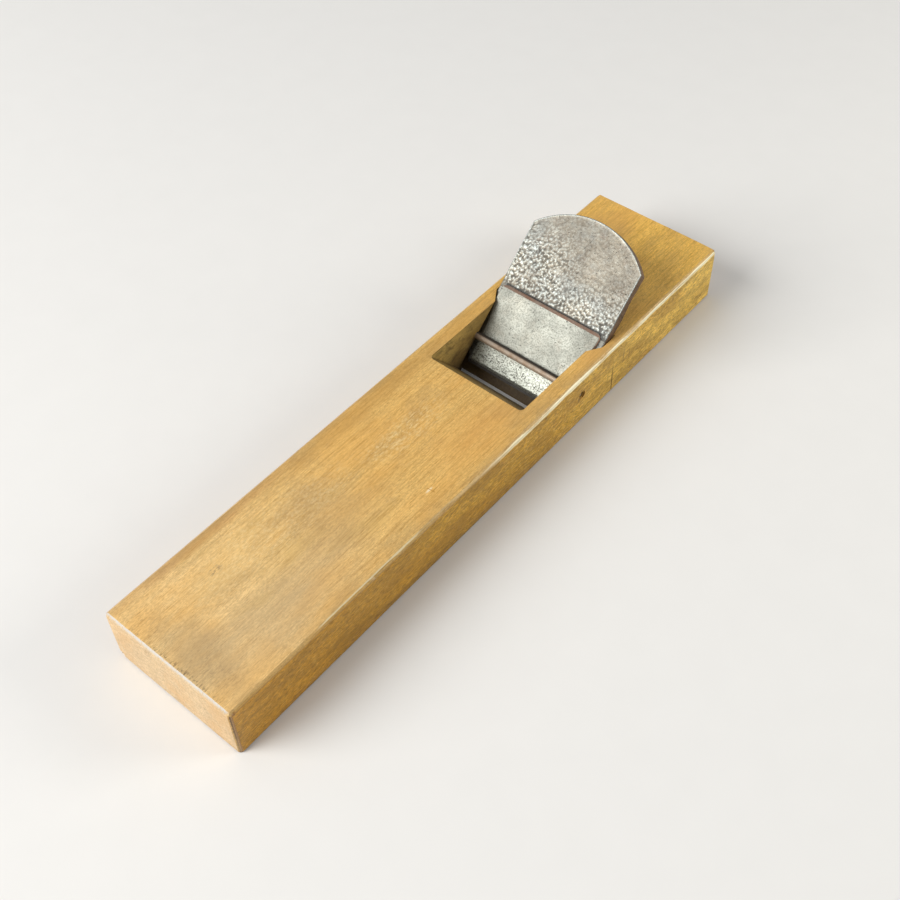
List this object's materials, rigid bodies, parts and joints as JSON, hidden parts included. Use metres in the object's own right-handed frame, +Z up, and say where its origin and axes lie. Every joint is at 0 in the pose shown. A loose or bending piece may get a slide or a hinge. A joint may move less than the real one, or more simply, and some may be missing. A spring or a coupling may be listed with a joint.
{
  "type": "japanese hand plane",
  "caption": "Long wooden bench plane pulled towards the user: an oak block with an angled bed, a wedge-shaped laminated blade, a chipbreaker and a steel pressure pin across the throat.",
  "frame": {"origin": "middle of the body on its sole", "axes": "+Y runs along the body towards the head of the blade, +X to the right when looking along +Y, and +Z up from the sole"},
  "size_m": [0.08, 0.372, 0.0709],
  "materials": {
    "oak": "hand-worn oiled oak, open pores",
    "pin_steel": "dull brown patina",
    "forged_iron": "forged, hammer-pitted, grey patina",
    "blade_steel": "ground, fine scratches",
    "chipbreaker_iron": "ground, speckled with fine rust"
  },
  "bodies": {
    "body": {"oak_body": "oak", "pressure_pin": "pin_steel"},
    "blade": {"blade_iron": "forged_iron", "blade_steel": "blade_steel"},
    "chipbreaker": {"chipbreaker_iron": "chipbreaker_iron", "chipbreaker_steel": "blade_steel"}
  },
  "joints": [
    {"name": "blade_slide", "type": "slide", "parent": "body", "child": "blade", "axis": [0, 0.788, 0.6157], "range_m": [-0.0111, 0.06]},
    {"name": "chipbreaker_slide", "type": "slide", "parent": "blade", "child": "chipbreaker", "axis": [0, 0.7547, 0.6561], "range_m": [-0.0006, 0.048]}
  ]
}
